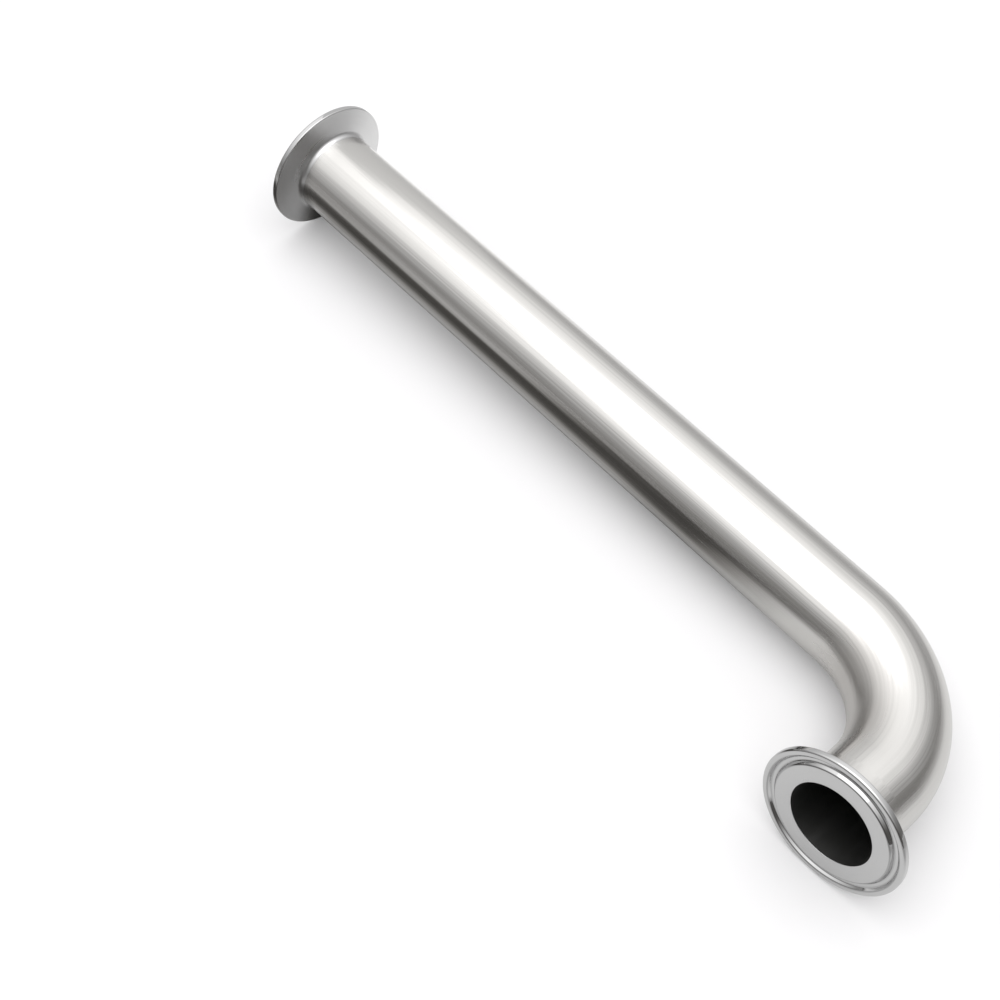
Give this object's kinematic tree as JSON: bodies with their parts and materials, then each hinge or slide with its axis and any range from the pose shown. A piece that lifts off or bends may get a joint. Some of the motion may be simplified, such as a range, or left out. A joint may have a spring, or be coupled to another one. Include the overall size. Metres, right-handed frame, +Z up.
{
  "type": "sanitary elbow",
  "caption": "Right-angle stainless tube elbow with one long and one short leg, each ending in a flanged hygienic clamp ferrule with a gasket groove.",
  "frame": {"origin": "on the table, under the middle of the elbow's overall box", "axes": "+Z up from the table that the elbow lies on, +X along the long leg seen from above and out of its port, +Y on the side that the short leg points to"},
  "size_m": [0.331, 0.0904, 0.0505],
  "materials": {
    "satin_tube": "satin-polished stainless tube, brushed along its length and round the bend",
    "turned_ferrule": "turned stainless, fine concentric lay, groove and rim polished"
  },
  "bodies": {
    "root": {"bent_tube": "satin_tube", "long_leg_ferrule": "turned_ferrule", "short_leg_ferrule": "turned_ferrule"}
  },
  "joints": []
}
